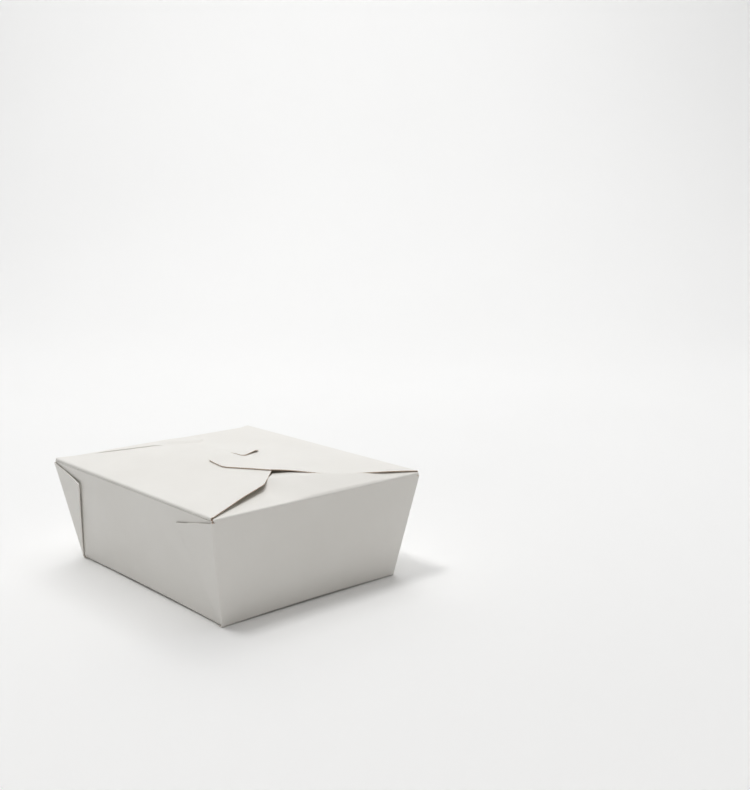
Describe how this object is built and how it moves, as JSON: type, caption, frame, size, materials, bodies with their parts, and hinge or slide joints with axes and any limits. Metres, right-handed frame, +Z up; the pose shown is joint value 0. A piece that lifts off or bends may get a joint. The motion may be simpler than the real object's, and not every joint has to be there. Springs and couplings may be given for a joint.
{
  "type": "takeout food box",
  "caption": "Folded paperboard takeout food box, shut, with sloping walls, web corners and hinged lock flaps that hook over each other above a pair of side flaps.",
  "frame": {"origin": "middle of the underside of the base, on the surface the box stands on", "axes": "+X along the long walls, +Y from the front long wall to the back one, +Z up"},
  "size_m": [0.1732, 0.1468, 0.0716],
  "materials": {
    "coated_board": "satin"
  },
  "bodies": {
    "tray": {"tray": "coated_board"},
    "front_flap": {"front_lock_flap": "coated_board"},
    "back_flap": {"back_lock_flap": "coated_board"}
  },
  "joints": [
    {"name": "front_flap_hinge", "type": "hinge", "parent": "tray", "child": "front_flap", "pos_m": [0, -0.07147, 0.06331], "axis": [1, 0, 0], "range_deg": [0, 140]},
    {"name": "back_flap_hinge", "type": "hinge", "parent": "tray", "child": "back_flap", "pos_m": [0, 0.07147, 0.06331], "axis": [-1, 0, 0], "range_deg": [0, 140]}
  ],
  "couplings": [
    {"joint": "back_flap_hinge", "follows": "front_flap_hinge", "ratio": 1}
  ]
}
